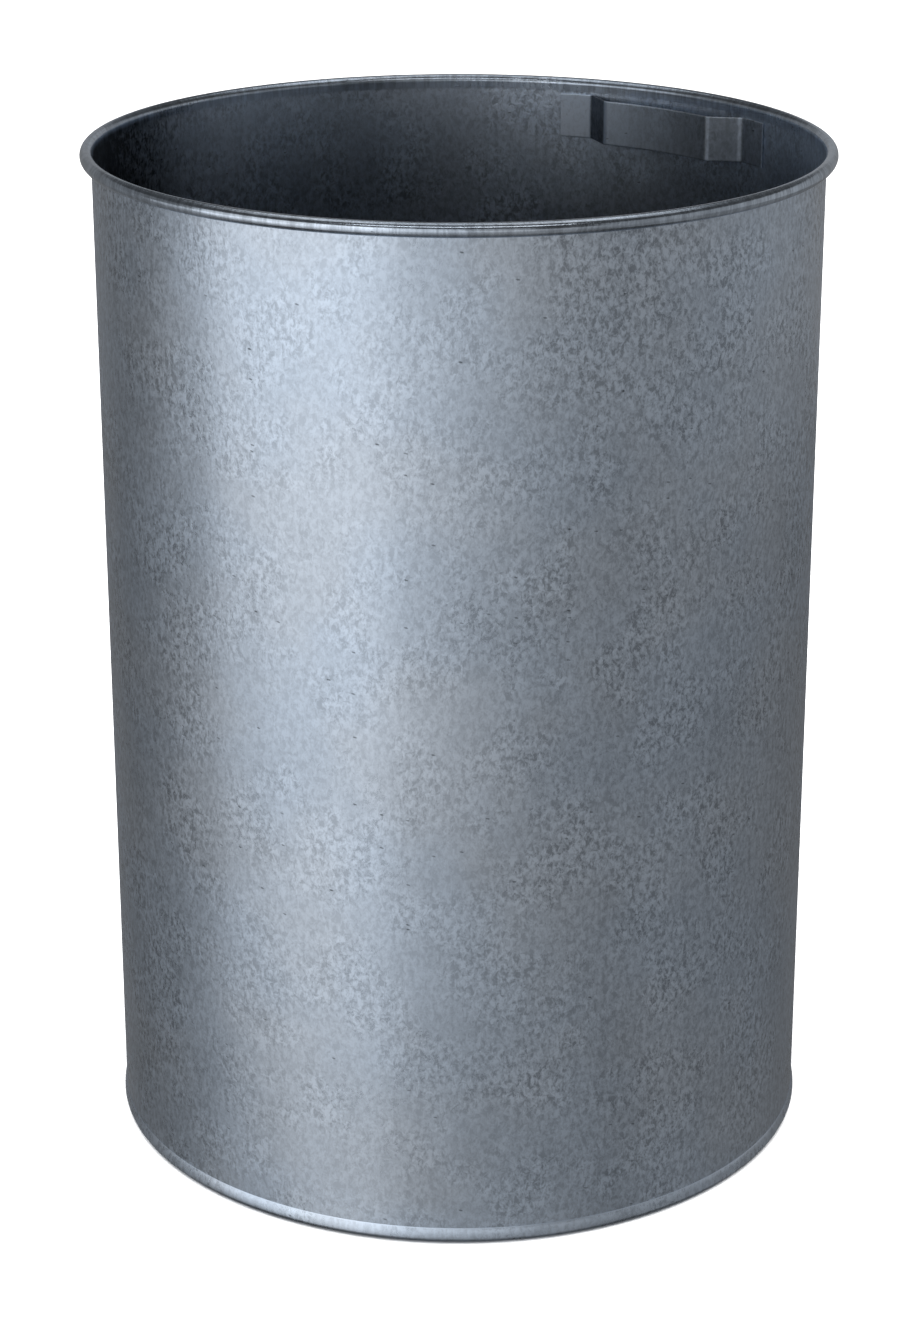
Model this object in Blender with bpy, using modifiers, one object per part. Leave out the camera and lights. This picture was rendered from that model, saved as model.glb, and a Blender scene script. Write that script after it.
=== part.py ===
"""Open-topped oily waste can in galvanised sheet steel.

A rolled side wall has its top edge curled round a wire. Its bottom edge is necked in and flanged, and sits in
a pressed base whose skirt is crimped round it. A strip bent like a flat loop is welded inside the top.
Lengths are in metres and +Z is up. The origin is the centre of the ring that the can stands on, and +Y points
at the strip.
"""

import math

import bmesh
import bpy
from mathutils import Vector

# Driving dimensions
CAN_HEIGHT = 0.541
WALL_RADIUS = 0.190  # outside of the wall
SHEET = 0.0008  # thickness of the wall and the base
GAP = 0.0003  # air between pieces that touch on the real can

# Wired rim: the curl is a little taller than it is wide
RIM_REACH = 0.00586  # how far the curl stands out past the wall
RIM_HEIGHT = 0.00726
CURL_END = math.radians(-120)  # where the sheet's edge stops under the wire; 0 faces outward

# Bottom of the wall, which fits inside the base's skirt. Radii of bends are those of the middle of the sheet
NECK_DEPTH = 0.0007
NECK_TOP = 0.0094
NECK_SLOPE = 0.0010  # height over which the wall steps in
WALL_BEND = 0.0020
WALL_FLANGE = 0.0013  # flat part of the flange that rests on the base

# Pressed base
SKIRT_TOP = 0.0079
SKIRT_BULGE = 0.0008  # how much further out the skirt is at its widest than at its top
CORNER_BEND = 0.0037
RING_FLAT = 0.0019  # width of the ring that the can stands on
RING_BEND = 0.0012
PANEL_HEIGHT = 0.0062  # middle of the raised floor
PANEL_BEND = 0.0016

# Strip inside the top
STRIP_THICKNESS = 0.0010
STRIP_HEIGHT = 0.0246
STRIP_TOP = 0.5325
LOOP_RADIUS = 0.1740  # inner face of the part that stands off the wall
LOOP_HALF_ANGLE = math.radians(11.6)
FLANGE_START = math.radians(16.0)
FLANGE_END = math.radians(21.8)
STRIP_BEND = 0.0028
BEND_STEPS = 3

# Fineness
TURN_STEPS = 72
CURL_STEP = math.radians(30)
SHARP_ANGLE = math.radians(35)


def empty_scene():
    for item in list(bpy.data.objects):
        bpy.data.objects.remove(item, do_unlink=True)


def metal(name, colour, roughness):
    material = bpy.data.materials.new(name)
    material.use_nodes = True
    shader = material.node_tree.nodes["Principled BSDF"]
    shader.inputs["Base Color"].default_value = (*colour, 1.0)
    shader.inputs["Metallic"].default_value = 1.0
    shader.inputs["Roughness"].default_value = roughness
    return material


def arc(centre, radii, start, end, steps):
    """Points along an elliptical arc in the XZ plane, both ends included."""
    points = []
    for i in range(steps + 1):
        angle = start + (end - start) * i / steps
        x = centre[0] + radii[0] * math.cos(angle)
        z = centre[1] + radii[1] * math.sin(angle)
        points.append((x, z))
    return points


def bend(centre, radius, start_deg, end_deg, steps):
    return arc(centre, (radius, radius), math.radians(start_deg), math.radians(end_deg), steps)


def shade_by_angle(piece):
    """Bakes the modifiers into the mesh, then shades it smooth with sharp edges at the folds and cuts."""
    graph = bpy.context.evaluated_depsgraph_get()
    baked = bpy.data.meshes.new_from_object(piece.evaluated_get(graph))
    piece.modifiers.clear()
    piece.data = baked
    baked.name = piece.name
    baked.shade_smooth()
    baked.set_sharp_from_angle(angle=SHARP_ANGLE)


def add_piece(name, mesh, material, home):
    piece = bpy.data.objects.new(name, mesh)
    mesh.materials.append(material)
    home.objects.link(piece)
    return piece


def add_sheet_thickness(piece, thickness):
    """Thickens an open surface equally to both sides."""
    solidify = piece.modifiers.new("Solidify", "SOLIDIFY")
    solidify.thickness = thickness
    solidify.offset = 0.0
    solidify.use_even_offset = True


def turned_sheet(name, profile, material, home):
    """A sheet-metal shape turned about Z. The profile is the middle of the sheet, in the XZ plane."""
    mesh = bpy.data.meshes.new(name)
    points = [(x, 0.0, z) for x, z in profile]
    edges = [(i, i + 1) for i in range(len(points) - 1)]
    mesh.from_pydata(points, edges, [])
    piece = add_piece(name, mesh, material, home)

    screw = piece.modifiers.new("Screw", "SCREW")
    screw.axis = "Z"
    screw.angle = 2 * math.pi
    screw.steps = TURN_STEPS
    screw.render_steps = TURN_STEPS
    screw.use_merge_vertices = True
    screw.merge_threshold = 0.00001
    add_sheet_thickness(piece, SHEET)
    shade_by_angle(piece)
    return piece


def rim_centre():
    """Centre of the curl's section, as (radius, height)."""
    width = RIM_REACH + SHEET
    return WALL_RADIUS - SHEET + width / 2, CAN_HEIGHT - RIM_HEIGHT / 2


def side_wall(home):
    """From the curl's hidden edge over the wire, down the wall and in along the flange."""
    centre = rim_centre()
    half_width = (RIM_REACH + SHEET) / 2
    radii = (half_width - SHEET / 2, RIM_HEIGHT / 2 - SHEET / 2)
    steps = round((math.pi - CURL_END) / CURL_STEP)
    middle = WALL_RADIUS - SHEET / 2
    neck = middle - NECK_DEPTH
    flange = SHEET + GAP + SHEET / 2

    profile = arc(centre, radii, CURL_END, math.pi, steps)
    profile.append((middle, NECK_TOP))
    profile.append((neck, NECK_TOP - NECK_SLOPE))
    profile += bend((neck - WALL_BEND, flange + WALL_BEND), WALL_BEND, 0.0, -90.0, 4)
    profile.append((neck - WALL_BEND - WALL_FLANGE, flange))
    zinc = metal("wall_zinc", (0.56, 0.60, 0.64), 0.42)
    return turned_sheet("side_wall", profile, zinc, home)


def rim_wire(home):
    """The wire lies in the curl with the gap left all round at its narrowest."""
    radius, height = rim_centre()
    bpy.ops.mesh.primitive_torus_add(
        location=(0.0, 0.0, height),
        major_segments=TURN_STEPS,
        minor_segments=round(2 * math.pi / CURL_STEP),
        major_radius=radius,
        minor_radius=(RIM_REACH + SHEET) / 2 - SHEET - GAP,
    )
    wire = bpy.context.object
    wire.name = "rim_wire"
    wire.data.name = "rim_wire"
    for collection in list(wire.users_collection):
        collection.objects.unlink(wire)
    home.objects.link(wire)
    wire.data.materials.append(metal("wire_steel", (0.42, 0.43, 0.44), 0.50))
    wire.data.shade_smooth()
    return wire


def base_pan(home):
    """From the skirt's top edge down to the ring, up round the raised floor and in to the centre."""
    skirt_top = WALL_RADIUS - NECK_DEPTH + GAP + SHEET / 2
    widest = skirt_top + SKIRT_BULGE
    corner = (widest - CORNER_BEND, SHEET / 2 + CORNER_BEND)
    rise = SKIRT_TOP - corner[1]
    crimp = (rise**2 + SKIRT_BULGE**2) / (2 * SKIRT_BULGE)
    crimp_angle = math.degrees(math.asin(rise / crimp))
    ring = (corner[0] - RING_FLAT, SHEET / 2 + RING_BEND)
    panel = (ring[0] - RING_BEND - PANEL_BEND, PANEL_HEIGHT - PANEL_BEND)

    profile = bend((widest - crimp, corner[1]), crimp, crimp_angle, 0.0, 3)
    profile += bend(corner, CORNER_BEND, 0.0, -90.0, 5)[1:]
    profile += bend(ring, RING_BEND, -90.0, -180.0, 3)
    profile += bend(panel, PANEL_BEND, 0.0, 90.0, 3)
    profile.append((0.0, PANEL_HEIGHT))
    zinc = metal("base_zinc", (0.55, 0.59, 0.63), 0.45)
    return turned_sheet("base_pan", profile, zinc, home)


def plan_point(radius, angle):
    """A point in plan, its angle measured from +Y towards +X."""
    return Vector((radius * math.sin(angle), radius * math.cos(angle), 0.0))


def inner_bracket(home):
    """Half of the strip's middle surface, pulled up from its plan line and mirrored across the can."""
    loop = LOOP_RADIUS + STRIP_THICKNESS / 2
    flange = WALL_RADIUS - SHEET - GAP - STRIP_THICKNESS / 2
    loop_steps = 4
    flange_steps = 2
    line = [plan_point(loop, LOOP_HALF_ANGLE * i / loop_steps) for i in range(loop_steps + 1)]
    spread = FLANGE_END - FLANGE_START
    line += [
        plan_point(flange, FLANGE_START + spread * i / flange_steps) for i in range(flange_steps + 1)
    ]

    shape = bmesh.new()
    low = [shape.verts.new(point) for point in line]
    edges = [shape.edges.new(pair) for pair in zip(low, low[1:])]
    bends = {low[loop_steps], low[loop_steps + 1]}
    pulled = bmesh.ops.extrude_edge_only(shape, edges=edges)["geom"]
    high = [item for item in pulled if isinstance(item, bmesh.types.BMVert)]
    bmesh.ops.translate(shape, verts=high, vec=(0.0, 0.0, STRIP_HEIGHT))
    upright = [
        edge for edge in shape.edges if bends & set(edge.verts) and set(edge.verts) & set(high)
    ]
    bmesh.ops.bevel(shape, geom=upright, offset=STRIP_BEND, segments=BEND_STEPS, affect="EDGES", profile=0.5)

    mesh = bpy.data.meshes.new("inner_bracket")
    shape.to_mesh(mesh)
    shape.free()
    steel = metal("bracket_zinc", (0.57, 0.60, 0.63), 0.38)
    strip = add_piece("inner_bracket", mesh, steel, home)
    strip.location.z = STRIP_TOP - STRIP_HEIGHT

    mirror = strip.modifiers.new("Mirror", "MIRROR")
    mirror.merge_threshold = 0.00001
    add_sheet_thickness(strip, STRIP_THICKNESS)
    shade_by_angle(strip)
    return strip


def build():
    empty_scene()
    home = bpy.data.collections.new("oily_waste_can")
    bpy.context.scene.collection.children.link(home)
    can = bpy.data.objects.new("can_frame", None)
    home.objects.link(can)
    for make in (side_wall, rim_wire, base_pan, inner_bracket):
        make(home).parent = can


build()
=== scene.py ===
"""Looks for the open-topped galvanised waste can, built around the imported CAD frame.

Lengths are in metres, +Z is up and +Y points at the strip inside the top.
"""

import math

import bmesh
import bpy
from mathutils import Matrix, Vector


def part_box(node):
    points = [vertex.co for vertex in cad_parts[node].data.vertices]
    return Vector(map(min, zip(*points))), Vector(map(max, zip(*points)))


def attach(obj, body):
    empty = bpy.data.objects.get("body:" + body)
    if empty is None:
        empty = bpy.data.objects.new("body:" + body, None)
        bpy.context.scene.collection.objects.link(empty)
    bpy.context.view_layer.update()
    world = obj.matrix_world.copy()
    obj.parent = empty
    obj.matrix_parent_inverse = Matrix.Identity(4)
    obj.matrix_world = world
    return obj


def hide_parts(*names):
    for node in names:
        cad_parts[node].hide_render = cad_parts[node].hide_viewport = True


# Sheet metal, as the CAD has it
WALL_RADIUS = 0.190
SHEET = 0.0008
GAP = 0.0003
RIM_HEIGHT = 0.00726
CURL_END = math.radians(-126)
NECK_DEPTH = 0.0009
NECK_TOP = 0.0088
NECK_SLOPE = 0.0004
WALL_BEND = 0.0020
WALL_FLANGE = 0.0013
SKIRT_TOP = 0.0086
SKIRT_EDGE = 0.1897  # middle of the skirt's sheet at its top edge, where it is crimped against the wall
SKIRT_WIDEST = 0.1908
CORNER_BEND = 0.0031
RING_FLAT = 0.0019
RING_BEND = 0.0012
PANEL_HEIGHT = 0.0062
PANEL_BEND = 0.0016
STRIP_THICKNESS = 0.0010
LOOP_RADIUS = 0.1745  # middle of the strip where it stands off the wall
LOOP_HALF_ANGLE = math.radians(11.6)
FLANGE_START = math.radians(16.0)
FLANGE_END = math.radians(21.8)
STRIP_BEND = 0.0018
EDGE_ROW = 0.0008  # rows this far inside the strip's edges keep its faces flat beside the rounded edges

# Fineness
TURNS = 360
WALL_ROWS = 24
PANEL_ROWS = 20
SHARP = math.radians(40)

# Camera, as seen from the can's front right
VIEW_AZIMUTH = math.radians(39.8)
VIEW_PITCH = 0.35526
VIEW_DISTANCE = 1.7852
LOOK_HEIGHT = 0.2534
LENS = 88.593
SENSOR = 36.0
SHIFT_X = -0.00036

# Mean colour of the zinc
ZINC = (0.565, 0.645, 0.745)


# A ring of softboxes stands round the can. Azimuths are in degrees from the camera's, positive to its right,
# and each is followed by the radiance of its boxes, lowest first
BOX_DISTANCE = 2.6
BOX_WIDTH = 0.92
KEY_BANDS = ((-2.6, -1.1), (-1.1, -0.3), (-0.3, 0.5), (0.5, 1.5))
KEY_BOXES = (
    (-110, 0.11, 0.12, 0.13, 0.11),
    (-90, 0.15, 0.22, 0.37, 0.07),
    (-70, 0.24, 0.59, 0.96, 0.61),
    (-50, 0.47, 0.74, 1.04, 0.83),
    (-30, 0.46, 0.83, 0.98, 1.29),
    (-10, 0.25, 0.45, 0.67, 0.64),
    (10, 0.19, 0.29, 0.49, 0.29),
    (30, 0.16, 0.21, 0.27, 0.00),
    (50, 0.10, 0.17, 0.21, 0.21),
)
FILL_BANDS = ((-2.6, -0.3), (-0.3, 1.5))
FILL_BOXES = (
    (70, 0.16, 0.22),
    (90, 0.13, 0.25),
    (110, 0.12, 0.26),
    (130, 0.09, 0.20),
    (150, 0.09, 0.18),
    (170, 0.10, 0.23),
    (-170, 0.10, 0.18),
    (-150, 0.11, 0.14),
    (-130, 0.08, 0.11),
)
# Boxes above the can, and one below: azimuth, elevation, width, depth and radiance
TOP_BOXES = (
    (0, 85, 2.4, 0.30, 0.65),
    (0, 52, 2.4, 0.28, 2.00),
    (0, -60, 3.0, 1.6, 0.10),
    (180, 85, 2.4, 0.30, 0.36),
    (180, 75, 2.4, 0.30, 0.90),
    (180, 62, 2.4, 0.50, 0.41),
    (90, 65, 1.2, 1.2, 0.33),
    (-90, 65, 1.2, 1.2, 0.26),
)
AMBIENT = 0.06
CAN_MIDDLE = Vector((0.0, 0.0, 0.27))

# A lamp overhead whitens the floor and isn't seen in the metal
FLOOR_LAMP_HEIGHT = 5.0
FLOOR_LAMP_SIZE = 9.0
FLOOR_LAMP = 4.6

# ---------------------------------------------------------------- shapes


def arc(centre, radii, start, end, steps):
    """Points along an elliptical arc in the XZ plane, both ends included."""
    points = []
    for i in range(steps + 1):
        angle = start + (end - start) * i / steps
        points.append((centre[0] + radii[0] * math.cos(angle), centre[1] + radii[1] * math.sin(angle)))
    return points


def bend(centre, radius, start_deg, end_deg, steps):
    return arc(centre, (radius, radius), math.radians(start_deg), math.radians(end_deg), steps)


def bake_modifiers(piece):
    graph = bpy.context.evaluated_depsgraph_get()
    baked = bpy.data.meshes.new_from_object(piece.evaluated_get(graph))
    piece.modifiers.clear()
    piece.data = baked
    baked.name = piece.name
    baked.shade_smooth()
    baked.set_sharp_from_angle(angle=SHARP)


def new_piece(name, mesh, material):
    piece = bpy.data.objects.new(name, mesh)
    bpy.context.scene.collection.objects.link(piece)
    piece.data.materials.append(material)
    return piece


def thicken(piece, thickness):
    solidify = piece.modifiers.new("Solidify", "SOLIDIFY")
    solidify.thickness = thickness
    solidify.offset = 0.0
    solidify.use_even_offset = True


def turned_sheet(name, profile, material):
    """A sheet-metal shape turned about Z from the middle line of its section."""
    mesh = bpy.data.meshes.new(name)
    mesh.from_pydata([(x, 0.0, z) for x, z in profile], [(i, i + 1) for i in range(len(profile) - 1)], [])
    piece = new_piece(name, mesh, material)
    screw = piece.modifiers.new("Screw", "SCREW")
    screw.angle = 2 * math.pi
    screw.steps = TURNS
    screw.render_steps = TURNS
    screw.use_merge_vertices = True
    screw.merge_threshold = 0.00001
    thicken(piece, SHEET)
    bake_modifiers(piece)
    return piece


def build_wall(box, material):
    reach = box[1].x
    half = (reach - (WALL_RADIUS - SHEET)) / 2
    centre = (reach - half, box[1].z - RIM_HEIGHT / 2)
    radii = (half - SHEET / 2, RIM_HEIGHT / 2 - SHEET / 2)
    middle = WALL_RADIUS - SHEET / 2
    neck = middle - NECK_DEPTH
    flange = SHEET + GAP + SHEET / 2
    profile = arc(centre, radii, CURL_END, math.pi, 40)
    for i in range(1, WALL_ROWS + 1):
        profile.append((middle, centre[1] + (NECK_TOP - centre[1]) * i / WALL_ROWS))
    profile.append((neck, NECK_TOP - NECK_SLOPE))
    profile += bend((neck - WALL_BEND, flange + WALL_BEND), WALL_BEND, 0.0, -90.0, 8)
    profile.append((neck - WALL_BEND - WALL_FLANGE, flange))
    return turned_sheet("wall_skin", profile, material)


def build_base(material):
    corner = (SKIRT_WIDEST - CORNER_BEND, SHEET / 2 + CORNER_BEND)
    rise = SKIRT_TOP - corner[1]
    bulge = SKIRT_WIDEST - SKIRT_EDGE
    crimp = (rise**2 + bulge**2) / (2 * bulge)
    crimp_angle = math.degrees(math.asin(rise / crimp))
    ring = (corner[0] - RING_FLAT, SHEET / 2 + RING_BEND)
    panel = (ring[0] - RING_BEND - PANEL_BEND, PANEL_HEIGHT - PANEL_BEND)
    profile = bend((SKIRT_WIDEST - crimp, corner[1]), crimp, crimp_angle, 0.0, 8)
    profile += bend(corner, CORNER_BEND, 0.0, -90.0, 14)[1:]
    profile += bend(ring, RING_BEND, -90.0, -180.0, 8)
    profile += bend(panel, PANEL_BEND, 0.0, 90.0, 8)
    for i in range(1, PANEL_ROWS + 1):
        profile.append((panel[0] * (1 - i / PANEL_ROWS), PANEL_HEIGHT))
    return turned_sheet("base_skin", profile, material)


def plan_point(radius, angle):
    return Vector((radius * math.sin(angle), radius * math.cos(angle), 0.0))


def build_bracket(box, material):
    flange = WALL_RADIUS - SHEET - GAP - STRIP_THICKNESS / 2
    loop_steps, flange_steps = 12, 8
    line = [plan_point(LOOP_RADIUS, LOOP_HALF_ANGLE * i / loop_steps) for i in range(loop_steps + 1)]
    spread = FLANGE_END - FLANGE_START
    line += [plan_point(flange, FLANGE_START + spread * i / flange_steps) for i in range(flange_steps)]
    line += [plan_point(flange, FLANGE_END - EDGE_ROW / flange), plan_point(flange, FLANGE_END)]
    shape = bmesh.new()
    low = [shape.verts.new(point) for point in line]
    edges = [shape.edges.new(pair) for pair in zip(low, low[1:])]
    bends = {low[loop_steps], low[loop_steps + 1]}
    pulled = bmesh.ops.extrude_edge_only(shape, edges=edges)["geom"]
    high = [item for item in pulled if isinstance(item, bmesh.types.BMVert)]
    bmesh.ops.translate(shape, verts=high, vec=(0.0, 0.0, box[1].z - box[0].z))
    upright = [e for e in shape.edges if bends & set(e.verts) and set(e.verts) & set(high)]
    bmesh.ops.bevel(shape, geom=upright, offset=STRIP_BEND, segments=6, affect="EDGES", profile=0.5)
    height = box[1].z - box[0].z
    for cut in (EDGE_ROW, height / 2, height - EDGE_ROW):
        everything = list(shape.verts) + list(shape.edges) + list(shape.faces)
        bmesh.ops.bisect_plane(shape, geom=everything, plane_co=(0.0, 0.0, cut), plane_no=(0.0, 0.0, 1.0))
    mesh = bpy.data.meshes.new("bracket_skin")
    shape.to_mesh(mesh)
    shape.free()
    strip = new_piece("bracket_skin", mesh, material)
    strip.location.z = box[0].z
    mirror = strip.modifiers.new("Mirror", "MIRROR")
    mirror.merge_threshold = 0.00001
    thicken(strip, STRIP_THICKNESS)
    bake_modifiers(strip)
    bevel = strip.modifiers.new("Bevel", "BEVEL")
    bevel.width = 0.00025
    bevel.segments = 3
    bevel.limit_method = "ANGLE"
    bevel.angle_limit = math.radians(60)
    bake_modifiers(strip)
    return strip


# ---------------------------------------------------------------- materials

# Sizes of the zinc's grains and flecks, which are a little taller than wide
GRAIN_SIZE = 0.0022
FLECK_SIZE = 0.0019
GRAIN_STRETCH = (1.0, 1.0, 0.72)
FLECK_OFFSET = (3.7, 3.7, 3.7)

# The zinc's colour varies between slightly cooler and slightly warmer
HUE_OFFSET = (5.0, 5.0, 5.0)
HUE_SHIFT = 0.01

# Lightness of the zinc, and how much each mask adds to its lightness, roughness and relief
LEVEL = 1.02
LEVEL_RANGE = (0.04, 1.32)
# Besides grain, clouds, streaks and marks, the lightness carries painted highlights and painted shade
LEVEL_WEIGHTS = {
    "clouds": 0.30,
    "dark": -0.38,
    "light": 0.34,
    "streaks": 0.10,
    "rolled": 0.34,
    "flecks": 0.12,
    "marks": -0.5,
    "wear_and_highlight": 0.30,
    "shaded": -0.24,
}
ROUGHNESS_WEIGHTS = {
    "clouds": 0.12,
    "dark": -0.03,
    "light": 0.02,
    "streaks": 0.04,
    "marks": 0.15,
    "wear_and_highlight": 0.04,
    "streaky": -0.11,
    "inside": 0.10,
}
RELIEF_WEIGHTS = {
    "flecks": 0.4,
    "light": 0.6,
    "dark": -0.9,
    "streaks": 0.15,
    "ridges": 0.8,
    "clouds": 0.8,
    "marks": -0.8,
}

# The grain is fainter on the brightest part of the front, and inside the can
BRIGHT_SIDE = (0.384, -0.923)
BRIGHT_FADE = (0.158, 0.184)
BRIGHT_GRAIN = 0.62
INNER_GRAIN = 0.75

# The wall's inner face has painted shade: it is lighter near the rim, and dark at one side
SHALLOW = 0.015
SHALLOW_SHADE = -0.4
DEEP = 0.080
DEEP_SHADE = 1.2
DARK_SIDE = (-0.769, -0.640)
DARK_FADE = (0.140, 0.187)
DARK_SHADE = 4.3

# The strip's left step is darkened with painted shade and the bends of its right step get painted highlights
SHADED_STEP = (-0.0535, -0.0350)
STEP_SHADE = 4.2
HIGHLIT_BENDS = (0.0357, 0.0512)


class Finish:
    """Builds one metal material from nodes. An input is a number, a vector or another node's output."""

    def __init__(self, name):
        self.material = bpy.data.materials.new(name)
        self.material.use_nodes = True
        self.tree = self.material.node_tree
        self.shader = self.tree.nodes["Principled BSDF"]
        self.shader.inputs["Metallic"].default_value = 1.0
        self.place = self.node("ShaderNodeTexCoord", {}, {}, "Object")

    def put(self, socket, value):
        if isinstance(value, bpy.types.NodeSocket):
            self.tree.links.new(value, socket)
        else:
            socket.default_value = value

    def node(self, kind, settings, inputs, output=0):
        made = self.tree.nodes.new(kind)
        for key, value in settings.items():
            setattr(made, key, value)
        for key, value in inputs.items():
            self.put(made.inputs[key], value)
        return made.outputs[output]

    def math(self, operation, first, second=0.0):
        return self.node("ShaderNodeMath", {"operation": operation}, {0: first, 1: second})

    def add(self, first, *others):
        for other in others:
            first = self.math("ADD", first, other)
        return first

    def times(self, first, *others):
        for other in others:
            first = self.math("MULTIPLY", first, other)
        return first

    def smooth(self, value, low, high, at_low=0.0, at_high=1.0):
        """Turns value smoothly from at_low to at_high as it goes from low to high."""
        inputs = {"Value": value, "From Min": low, "From Max": high, "To Min": at_low, "To Max": at_high}
        return self.node("ShaderNodeMapRange", {"interpolation_type": "SMOOTHSTEP"}, inputs)

    def noise(self, vector, scale, detail=2.0, roughness=0.5, distortion=0.0):
        inputs = {
            "Vector": vector,
            "Scale": scale,
            "Detail": detail,
            "Roughness": roughness,
            "Distortion": distortion,
        }
        return self.node("ShaderNodeTexNoise", {}, inputs, "Fac")

    def scaled(self, vector, scale):
        return self.node("ShaderNodeVectorMath", {"operation": "MULTIPLY"}, {0: vector, 1: scale})

    def moved(self, vector, offset):
        return self.node("ShaderNodeVectorMath", {"operation": "ADD"}, {0: vector, 1: offset})

    def parts(self, vector):
        split = self.tree.nodes.new("ShaderNodeSeparateXYZ")
        self.put(split.inputs[0], vector)
        return split.outputs

    def vector(self, x, y, z):
        return self.node("ShaderNodeCombineXYZ", {}, {0: x, 1: y, 2: z})

    def mix(self, factor, first, second):
        made = self.tree.nodes.new("ShaderNodeMix")
        made.data_type = "RGBA"
        self.put(made.inputs[0], factor)
        self.put(made.inputs[6], first)
        self.put(made.inputs[7], second)
        return made.outputs[2]

    def unrolled(self):
        """Distance round the can, and height, with the join at the back behind the strip."""
        x, y, z = self.parts(self.place)
        turn = self.math("ARCTAN2", x, self.times(y, -1.0))
        return self.times(turn, WALL_RADIUS), z

    def inner_faces(self):
        """1 on the wall's inner face and everything inside it, 0 on the outside of the can."""
        return self.smooth(self.radius(), WALL_RADIUS - 0.0006, WALL_RADIUS - 0.0002, 1.0, 0.0)

    def towards(self, plan_direction):
        """How far a place lies from the can's axis in a direction seen in plan."""
        x, y, z = self.parts(self.place)
        return self.add(self.times(x, plan_direction[0]), self.times(y, plan_direction[1]))

    def weighed(self, start, masks, weights):
        """The start value plus each mask times its weight."""
        for mask, weight in weights.items():
            start = self.add(start, self.times(masks[mask], weight))
        return start

    def radius(self):
        x, y, z = self.parts(self.place)
        return self.math("SQRT", self.add(self.times(x, x), self.times(y, y)))

    def grains(self, size):
        """Two masks of irregular grains a little taller than wide, the dark ones and the light ones."""
        field = self.noise(self.scaled(self.place, GRAIN_STRETCH), 0.8 / size, 2.0, 0.8, 0.35)
        return self.smooth(field, 0.37, 0.50, 1.0, 0.0), self.smooth(field, 0.50, 0.63)

    def flecks(self, size):
        """Short curled marks, about 1 on a mark and 0 between them."""
        stretched = self.moved(self.scaled(self.place, GRAIN_STRETCH), FLECK_OFFSET)
        field = self.noise(stretched, 0.62 / size, 1.0, 0.4, 1.0)
        line = self.smooth(self.math("ABSOLUTE", self.add(field, -0.5)), 0.0, 0.05, 1.0, 0.0)
        broken = self.smooth(self.noise(stretched, 0.55 / size, 1.0), 0.50, 0.62)
        return self.times(line, broken)

    def dashes(self, along, height):
        """Small dark marks, longer across than high, a few to the palm of a hand."""
        lifted = self.add(height, self.times(along, 0.18), self.radius(), -WALL_RADIUS)
        cells = self.tree.nodes.new("ShaderNodeTexVoronoi")
        cells.voronoi_dimensions = "2D"
        self.put(cells.inputs["Vector"], self.vector(self.times(along, 75.0), self.times(lifted, 190.0), 0.0))
        self.put(cells.inputs["Scale"], 1.0)
        chosen = self.smooth(self.parts(cells.outputs["Color"])[0], 0.945, 0.955)
        spot = self.smooth(cells.outputs["Distance"], 0.05, 0.10, 1.0, 0.0)
        return self.times(chosen, spot)


def galvanised(name, roughness, zones, grain=1.0):
    """Zinc-coated sheet: fine grains in patches, soft clouds, faint streaks and a few dark marks.

    zones(finish, height) gives three masks, in order: streaky for rolled edges, then rubbed places and
    painted highlights, then painted shade for faces that get less light, below 0 where they get more.
    """
    made = Finish(name)
    along, height = made.unrolled()
    streaky, wear_and_highlight, shaded = zones(made, height)

    patches = made.smooth(made.noise(made.place, 26.0, 4.0, 0.6), 0.42, 0.60, 0.50, 1.0)
    sheet = made.smooth(streaky, 0.0, 1.0, 1.0, 0.25)
    front = made.smooth(made.towards(BRIGHT_SIDE), *BRIGHT_FADE, 1.0, BRIGHT_GRAIN)
    inside = made.inner_faces()
    faint = made.add(1.0, made.times(inside, INNER_GRAIN - 1.0))
    grained = made.times(patches, sheet, front, faint, grain)
    dark, light = made.grains(GRAIN_SIZE)
    inward = made.add(made.radius(), -WALL_RADIUS)
    clouds = made.noise(made.place, 17.0, 4.0, 0.55)
    hue = made.noise(made.moved(made.place, HUE_OFFSET), 11.0, 3.0, 0.5)
    streak_place = made.vector(made.times(along, 420.0), made.times(inward, 22.0), made.times(height, 22.0))
    streaks = made.noise(streak_place, 1.0, 2.0)
    rolled_place = made.vector(made.times(along, 240.0), 7.0, made.times(height, 40.0))
    rolled = made.smooth(made.noise(rolled_place, 1.0, 2.0, 0.7), 0.36, 0.64)
    masks = {
        "dark": made.times(dark, grained),
        "light": made.times(light, grained),
        "flecks": made.times(made.flecks(FLECK_SIZE), grained),
        "clouds": made.add(clouds, -0.5),
        "streaks": made.add(streaks, -0.5),
        "rolled": made.times(made.add(rolled, -0.5), streaky),
        "ridges": made.times(rolled, streaky),
        "marks": made.dashes(along, height),
        "streaky": streaky,
        "wear_and_highlight": wear_and_highlight,
        "shaded": shaded,
        "inside": inside,
    }

    level = made.weighed(LEVEL, masks, LEVEL_WEIGHTS)
    level = made.math("MINIMUM", made.math("MAXIMUM", level, LEVEL_RANGE[0]), LEVEL_RANGE[1])
    red, green, blue = ZINC
    tint = made.mix(
        made.smooth(hue, 0.36, 0.64),
        (red * (1 - HUE_SHIFT), green, blue * (1 + 2 * HUE_SHIFT), 1.0),
        (red * (1 + 2 * HUE_SHIFT), green, blue * (1 - HUE_SHIFT), 1.0),
    )
    made.put(made.shader.inputs["Base Color"], made.scaled(tint, made.vector(level, level, level)))
    made.put(made.shader.inputs["Roughness"], made.weighed(roughness, masks, ROUGHNESS_WEIGHTS))
    inputs = {"Height": made.weighed(0.0, masks, RELIEF_WEIGHTS), "Distance": 0.00005, "Strength": 0.8}
    made.put(made.shader.inputs["Normal"], made.node("ShaderNodeBump", {}, inputs))
    return made.material


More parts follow.
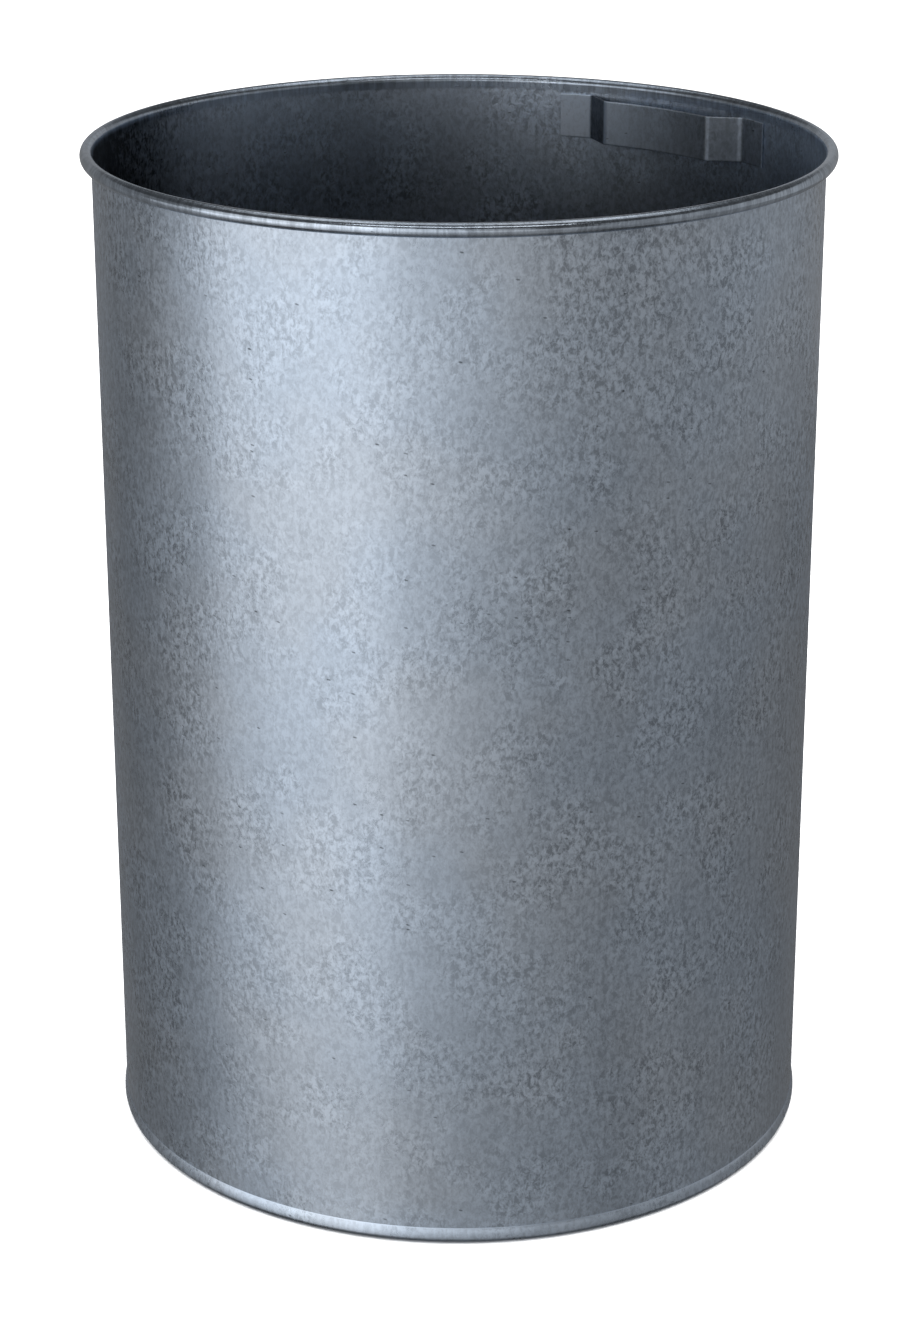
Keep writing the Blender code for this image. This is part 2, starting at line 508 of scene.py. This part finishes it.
def wall_zones(made, height):
    lip = RIM_TOP - RIM_HEIGHT
    rim = made.smooth(height, lip - 0.001, lip + 0.001)
    crest = made.smooth(height, RIM_TOP - 0.0012, RIM_TOP - 0.0002)
    not_rim = made.smooth(height, RIM_TOP - 0.006, RIM_TOP - 0.003, 1.0, 0.0)
    # Painted shade on the wall's inner face, set by depth and towards one side
    depth = made.smooth(height, RIM_TOP - DEEP, RIM_TOP - SHALLOW, DEEP_SHADE, SHALLOW_SHADE)
    side = made.smooth(made.towards(DARK_SIDE), *DARK_FADE, 0.0, DARK_SHADE)
    return rim, crest, made.times(made.inner_faces(), not_rim, made.add(depth, side))


def base_zones(made, height):
    # The skirt gets painted highlights over its whole face as well as wear at its top edge, and the base's
    # inner faces get painted shade
    skirt = made.smooth(made.radius(), 0.1880, 0.1890)
    edge = made.smooth(height, SKIRT_TOP - 0.0006, SKIRT_TOP)
    inner = made.smooth(made.radius(), 0.1880, 0.1890, 1.0, 0.0)
    return made.times(skirt, 0.35), made.add(edge, made.times(skirt, 0.5)), made.times(inner, 0.6)


def strip_zones(made, height):
    bottom, top = STRIP_BOX[0].z, STRIP_BOX[1].z
    from_middle = made.math("ABSOLUTE", made.add(height, -(bottom + top) / 2))
    half = (top - bottom) / 2
    # Painted highlights along the strip's top and bottom edges and on the bends of its right step
    wear_and_highlight = made.smooth(from_middle, half - 0.0009, half - 0.0002)
    across = made.parts(made.place)[0]
    for place in HIGHLIT_BENDS:
        away = made.math("ABSOLUTE", made.add(across, -place))
        wear_and_highlight = made.add(wear_and_highlight, made.smooth(away, 0.0005, 0.0016, 1.0, 0.0))
    # Painted shade that darkens the strip's left step
    outer, inner = SHADED_STEP
    step_shade = made.times(
        made.smooth(across, outer, outer + 0.0020), made.smooth(across, inner - 0.0025, inner, 1.0, 0.0)
    )
    # Painted shade: the strip is darker towards its bottom and its right end, and lighter at its top and left
    # end
    low = made.smooth(height, bottom, top, 0.9, -0.3)
    right = made.smooth(across, -0.034, 0.034, -0.75, 1.5)
    return 0.15, wear_and_highlight, made.add(low, right, made.times(step_shade, STEP_SHADE))


def drawn_steel(name, tone, roughness):
    """Wire with fine marks along its length."""
    made = Finish(name)
    along, height = made.unrolled()
    lines = made.noise(made.vector(made.times(along, 30.0), made.times(height, 4000.0), 0.0), 1.0, 3.0)
    clouds = made.noise(made.place, 40.0, 3.0)
    level = made.add(1.0, made.times(made.add(lines, -0.5), 0.3), made.times(made.add(clouds, -0.5), 0.3))
    inputs = {0: tone, 1: made.vector(level, level, level)}
    colour = made.node("ShaderNodeVectorMath", {"operation": "MULTIPLY"}, inputs)
    made.put(made.shader.inputs["Base Color"], colour)
    made.put(made.shader.inputs["Roughness"], made.add(roughness, made.times(made.add(clouds, -0.5), 0.2)))
    inputs = {"Height": lines, "Distance": 0.00003, "Strength": 0.6}
    made.put(made.shader.inputs["Normal"], made.node("ShaderNodeBump", {}, inputs))
    return made.material


# ---------------------------------------------------------------- stage


def direction(azimuth_deg, elevation_deg):
    """A direction seen from the can. Its azimuth counts from the camera's, positive to the camera's right."""
    around = VIEW_AZIMUTH + math.radians(azimuth_deg)
    up = math.radians(elevation_deg)
    return Vector((math.sin(around) * math.cos(up), -math.cos(around) * math.cos(up), math.sin(up)))


def add_camera():
    back = direction(0.0, math.degrees(VIEW_PITCH))
    data = bpy.data.cameras.new("camera")
    data.sensor_width = SENSOR
    data.lens = LENS
    data.shift_x = SHIFT_X
    camera = bpy.data.objects.new("camera", data)
    camera.location = Vector((0.0, 0.0, LOOK_HEIGHT)) + back * VIEW_DISTANCE
    camera.rotation_euler = (-back).to_track_quat("-Z", "Y").to_euler()
    bpy.context.scene.collection.objects.link(camera)
    bpy.context.scene.camera = camera


def add_panel(name, place, aim, width, height, radiance):
    """A soft rectangular lamp that faces a point, given the radiance of its surface."""
    data = bpy.data.lights.new(name, "AREA")
    data.shape = "RECTANGLE"
    data.size = width
    data.size_y = height
    data.energy = radiance * math.pi * width * height
    lamp = bpy.data.objects.new(name, data)
    lamp.location = place
    lamp.rotation_euler = (aim - place).to_track_quat("-Z", "Y").to_euler()
    bpy.context.scene.collection.objects.link(lamp)
    return lamp


def add_ring(boxes, bands):
    for azimuth, *radiances in boxes:
        for (low, high), radiance in zip(bands, radiances):
            middle = Vector((0.0, 0.0, (low + high) / 2))
            place = middle + direction(azimuth, 0.0) * BOX_DISTANCE
            add_panel(f"box_{azimuth}_{low}", place, middle, BOX_WIDTH, high - low, radiance)


def add_floor():
    mesh = bpy.data.meshes.new("floor")
    shape = bmesh.new()
    bmesh.ops.create_circle(shape, cap_ends=True, segments=96, radius=12.0)
    shape.to_mesh(mesh)
    shape.free()
    material = bpy.data.materials.new("floor_white")
    material.use_nodes = True
    shader = material.node_tree.nodes["Principled BSDF"]
    shader.inputs["Base Color"].default_value = (0.9, 0.9, 0.9, 1.0)
    shader.inputs["Roughness"].default_value = 0.9
    floor = new_piece("floor", mesh, material)
    floor.location.z = -0.0005
    floor.visible_glossy = False
    floor.visible_shadow = False


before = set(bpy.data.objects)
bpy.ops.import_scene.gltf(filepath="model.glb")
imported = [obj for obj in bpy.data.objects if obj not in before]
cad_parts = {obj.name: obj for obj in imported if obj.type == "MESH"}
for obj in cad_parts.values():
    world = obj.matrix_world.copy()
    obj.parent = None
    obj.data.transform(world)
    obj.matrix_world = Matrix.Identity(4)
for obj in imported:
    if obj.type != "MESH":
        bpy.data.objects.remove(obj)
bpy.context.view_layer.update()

RIM_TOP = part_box("side_wall")[1].z
STRIP_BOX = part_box("inner_bracket")

add_camera()
wall = build_wall(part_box("side_wall"), galvanised("zinc_wall", 0.30, wall_zones))
base = build_base(galvanised("zinc_base", 0.30, base_zones))
bracket = build_bracket(STRIP_BOX, galvanised("zinc_strip", 0.30, strip_zones, 0.6))
for slot in bpy.data.objects["rim_wire"].material_slots:
    slot.material = drawn_steel("drawn_wire", (0.42, 0.43, 0.44), 0.45)
for piece, node, slot_name in (
    (wall, "side_wall", "wall_zinc"),
    (base, "base_pan", "base_zinc"),
    (bracket, "inner_bracket", "bracket_zinc"),
):
    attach(piece, "root")
    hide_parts(node)
add_floor()

add_ring(KEY_BOXES, KEY_BANDS)
add_ring(FILL_BOXES, FILL_BANDS)
for azimuth, elevation, width, depth, radiance in TOP_BOXES:
    place = CAN_MIDDLE + direction(azimuth, elevation) * BOX_DISTANCE
    add_panel(f"top_{azimuth}_{elevation}", place, CAN_MIDDLE, width, depth, radiance)
above = Vector((0.0, 0.0, FLOOR_LAMP_HEIGHT))
overhead = add_panel("floor_lamp", above, Vector(), FLOOR_LAMP_SIZE, FLOOR_LAMP_SIZE, FLOOR_LAMP)
overhead.visible_glossy = False

scene = bpy.context.scene
scene.view_settings.view_transform = "Standard"
world = bpy.data.worlds.new("studio")
scene.world = world
world.use_nodes = True
world.node_tree.nodes["Background"].inputs["Color"].default_value = (1, 1, 1, 1)
world.node_tree.nodes["Background"].inputs["Strength"].default_value = AMBIENT
